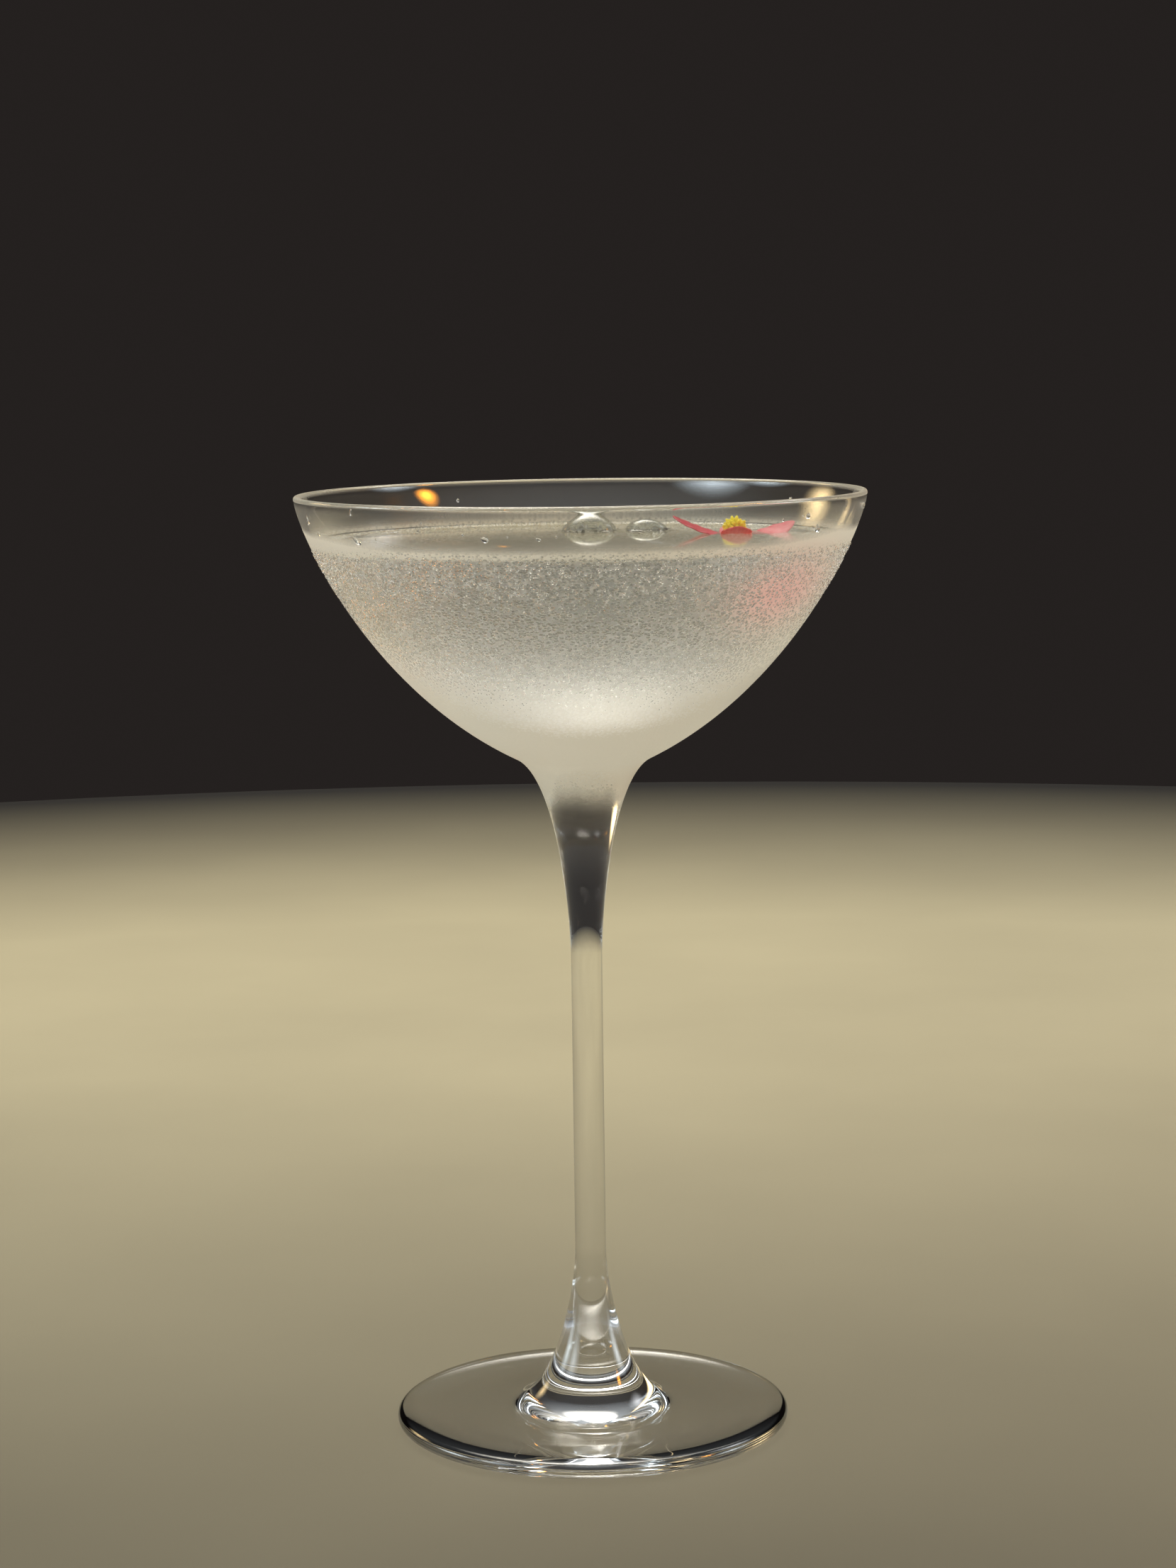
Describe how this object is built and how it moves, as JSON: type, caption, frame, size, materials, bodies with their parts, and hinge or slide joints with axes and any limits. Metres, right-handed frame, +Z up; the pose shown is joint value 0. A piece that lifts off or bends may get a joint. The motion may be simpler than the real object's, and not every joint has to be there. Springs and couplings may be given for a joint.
{
  "type": "vesper martini",
  "caption": "Chilled clear cocktail in a tall stemmed coupe, fogged with condensation, with a pink flower and clear ice slivers afloat on it.",
  "frame": {"origin": "middle of the foot's underside, on the surface that the glass stands on", "axes": "+Z up along the stem; the flower lies to the +X, +Y side, and the usual front view looks along +Y"},
  "size_m": [0.1048, 0.1048, 0.175],
  "materials": {
    "glass": "clear polished drinking glass, fogged with fine condensation outside the filled part of the bowl",
    "drink": "clear liquid with a very faint warm straw tint",
    "ice": "clear wet ice, worn smooth",
    "petal": "fleshy flower petal, rose pink to crimson, satin with fine veins",
    "stamens": "bright yellow stamens, powdery matt"
  },
  "bodies": {
    "root": {"glass": "glass", "drink": "drink", "ice_sliver_large": "ice", "ice_sliver_small": "ice", "petal_left": "petal", "petal_right": "petal", "petal_front": "petal", "petal_back": "petal", "stamens": "stamens"}
  },
  "joints": []
}
